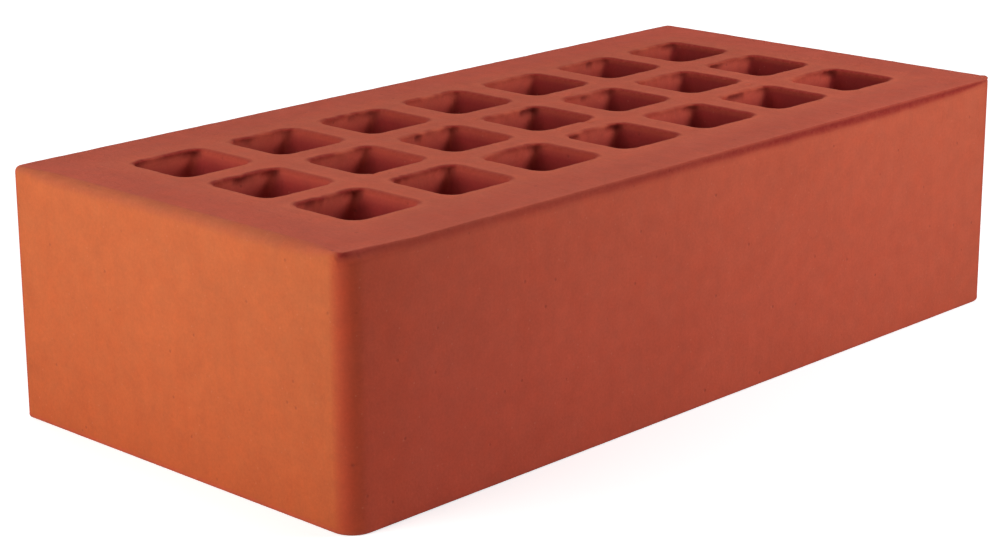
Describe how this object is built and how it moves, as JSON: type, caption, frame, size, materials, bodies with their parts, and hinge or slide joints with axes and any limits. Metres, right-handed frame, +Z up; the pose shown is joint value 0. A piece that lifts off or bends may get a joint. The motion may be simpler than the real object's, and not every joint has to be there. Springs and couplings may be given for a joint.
{
  "type": "perforated clay brick",
  "caption": "Perforated clay facing brick with die-smooth sides, rounded face corners and rows of square through holes, bedded in mortar to build walls.",
  "frame": {"origin": "centre of the lower bed, at the middle of the brick's length and width", "axes": "+X along the length, header to header; +Y from the facing stretcher to the backing stretcher; +Z up through the perforations, from bed to bed"},
  "size_m": [0.25, 0.12, 0.065],
  "materials": {
    "fired_clay": "matt unglazed fired clay, orange red, die-smooth sides and rougher wire-cut beds"
  },
  "bodies": {
    "root": {"brick": "fired_clay"}
  },
  "joints": []
}
